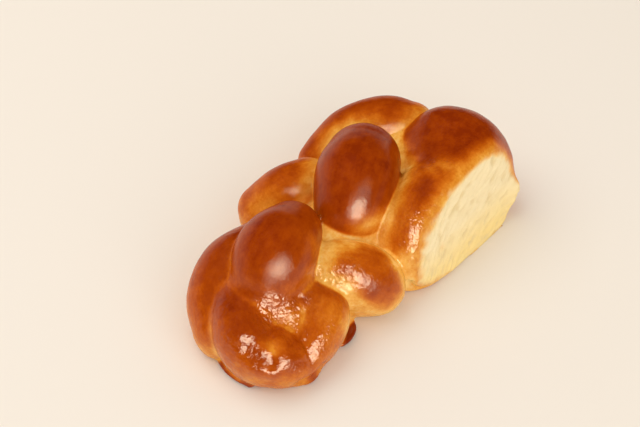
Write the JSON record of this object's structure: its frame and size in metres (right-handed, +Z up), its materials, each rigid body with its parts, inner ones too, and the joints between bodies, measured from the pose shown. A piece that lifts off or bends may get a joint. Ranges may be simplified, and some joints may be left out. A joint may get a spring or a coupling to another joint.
{
  "type": "braided loaf",
  "caption": "Plump braided loaf of glazed sweet white bread with one end tucked under and one long side torn open to pale crumb.",
  "frame": {"origin": "on the resting surface, under the middle of the loaf's bounding box", "axes": "+X along the loaf from the tucked end to the far end, -Y out of the torn side, +Z up"},
  "size_m": [0.2226, 0.1229, 0.0743],
  "materials": {
    "crust": "egg-washed bread crust, red-brown on the tops and golden in the creases, with a wet-looking gloss; pale matt crumb on the torn side"
  },
  "bodies": {
    "root": {"loaf": "crust"}
  },
  "joints": []
}
